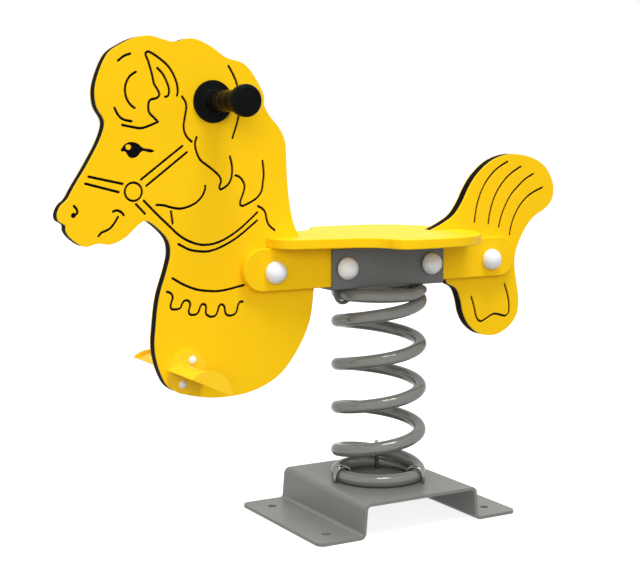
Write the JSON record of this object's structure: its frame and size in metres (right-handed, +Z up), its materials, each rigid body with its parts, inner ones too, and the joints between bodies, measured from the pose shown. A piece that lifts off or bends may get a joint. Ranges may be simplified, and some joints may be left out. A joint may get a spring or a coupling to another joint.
{
  "type": "spring rider",
  "caption": "Playground spring rider: horse-shaped panels with seat, handles and footrests on a single coil spring over a bent base plate.",
  "frame": {"origin": "on the ground, at the centre of the four anchor holes, under the spring's axis", "axes": "+X towards the horse's nose, +Y to the rider's left, +Z up"},
  "size_m": [0.8691, 0.2972, 0.7401],
  "materials": {
    "yellow_sheet": "smooth yellow polyethylene sheet",
    "black_core": "black polyethylene core",
    "grey_powder_coat": "satin grey powder coat on steel",
    "coated_spring_steel": "satin grey powder coat on spring steel",
    "zinc_steel": "bright zinc plate",
    "white_cap_plastic": "glossy silver-white plastic",
    "black_handle_plastic": "smooth black moulded plastic"
  },
  "bodies": {
    "base": {"base_plate": "grey_powder_coat", "base_u_bolts": "zinc_steel", "base_clamp_nuts": "zinc_steel"},
    "spring": {"coil_spring": "coated_spring_steel"},
    "rider": {"top_bracket": "grey_powder_coat", "top_u_bolts": "grey_powder_coat", "top_clamp_nuts": "zinc_steel", "rail_left": "yellow_sheet", "rail_right": "yellow_sheet", "seat": "yellow_sheet", "seat_screws": "zinc_steel", "seat_plugs": "yellow_sheet", "head_core": "black_core", "head_skin_left": "yellow_sheet", "head_skin_right": "yellow_sheet", "tail_core": "black_core", "tail_skin_left": "yellow_sheet", "tail_skin_right": "yellow_sheet", "rail_bolts": "zinc_steel", "rail_nuts": "zinc_steel", "cap_washers": "white_cap_plastic", "bolt_caps": "white_cap_plastic", "handle_left": "black_handle_plastic", "handle_right": "black_handle_plastic", "handle_rod": "zinc_steel", "footrest_left": "yellow_sheet", "footrest_right": "yellow_sheet", "footrest_bolts": "white_cap_plastic", "footrest_nuts": "white_cap_plastic"}
  },
  "joints": [
    {"name": "rock_fore_aft", "type": "hinge", "parent": "base", "child": "spring", "pos_m": [0, 0, 0.20925], "axis": [0, 1, 0], "range_deg": [-20, 20], "stiffness_Nm_per_rad": 1450, "deforming": ["coil_spring"]},
    {"name": "rock_sideways", "type": "hinge", "parent": "spring", "child": "rider", "pos_m": [0, 0, 0.20925], "axis": [1, 0, 0], "range_deg": [-12, 12], "stiffness_Nm_per_rad": 1450, "deforming": ["coil_spring"]}
  ]
}
